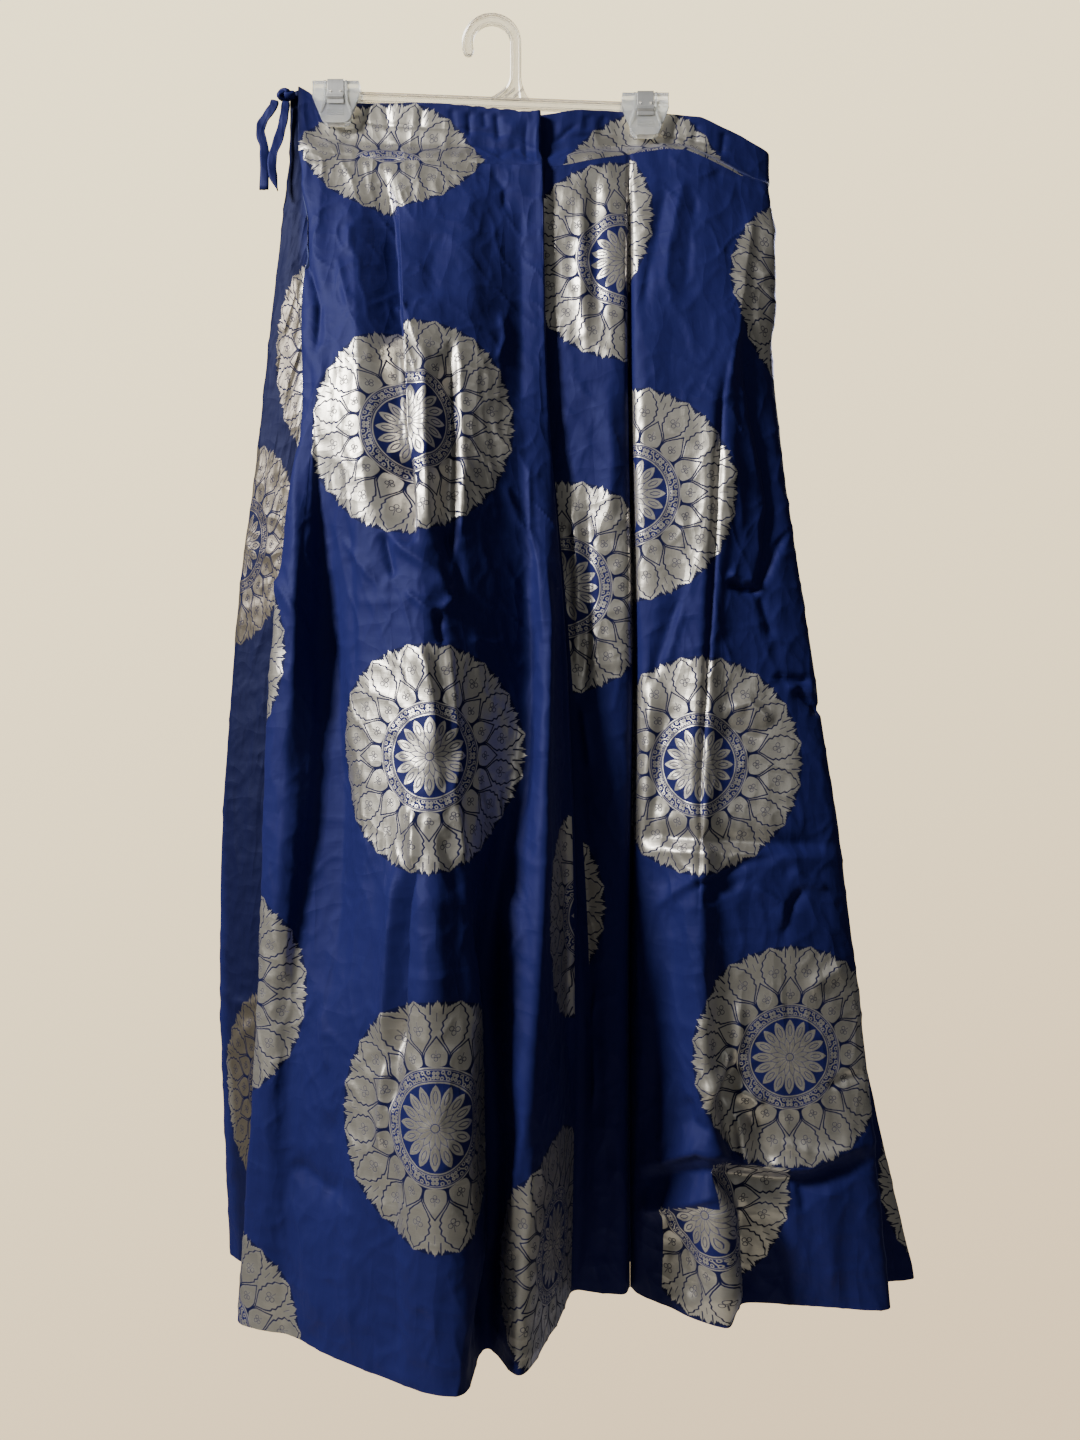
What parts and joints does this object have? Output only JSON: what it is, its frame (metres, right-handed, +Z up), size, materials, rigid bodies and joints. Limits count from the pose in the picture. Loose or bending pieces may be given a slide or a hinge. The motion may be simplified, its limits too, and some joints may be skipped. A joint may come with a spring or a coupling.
{
  "type": "lehenga skirt on a clip hanger",
  "caption": "Long flared lehenga skirt of brocade with a drawstring waistband, hanging from a clear clip hanger by its hook.",
  "frame": {"origin": "the inner crown of the hanger's hook, where it rests on the screw or rod that holds it", "axes": "+Z up, +X towards the viewer's right, -Y towards the viewer; +Y is the side of the wall"},
  "size_m": [0.6061, 0.2147, 1.0916],
  "materials": {
    "brocade": "blue silk with woven silver medallions, satin sheen",
    "tie_cloth": "plain blue silk, satin sheen",
    "clear_plastic": "clear moulded plastic, glossy",
    "spring_steel": "bright steel"
  },
  "bodies": {
    "root": {"skirt_front_left": "brocade", "skirt_front_flute": "brocade", "skirt_front_middle": "brocade", "skirt_front_right_gore": "brocade", "skirt_right_side": "brocade", "skirt_back_far_right": "brocade", "skirt_back_right": "brocade", "skirt_back_middle": "brocade", "skirt_back_left": "brocade", "waistband_front_left": "brocade", "waistband_front_right": "brocade", "waistband_back_right": "brocade", "waistband_back_left": "brocade", "drawstring_knot": "tie_cloth", "drawstring_end_left": "tie_cloth", "drawstring_end_right": "tie_cloth", "hanger": "clear_plastic", "clip_left_front_jaw": "clear_plastic", "clip_left_back_jaw": "clear_plastic", "clip_left_spring": "spring_steel", "clip_right_front_jaw": "clear_plastic", "clip_right_back_jaw": "clear_plastic", "clip_right_spring": "spring_steel"}
  },
  "joints": []
}
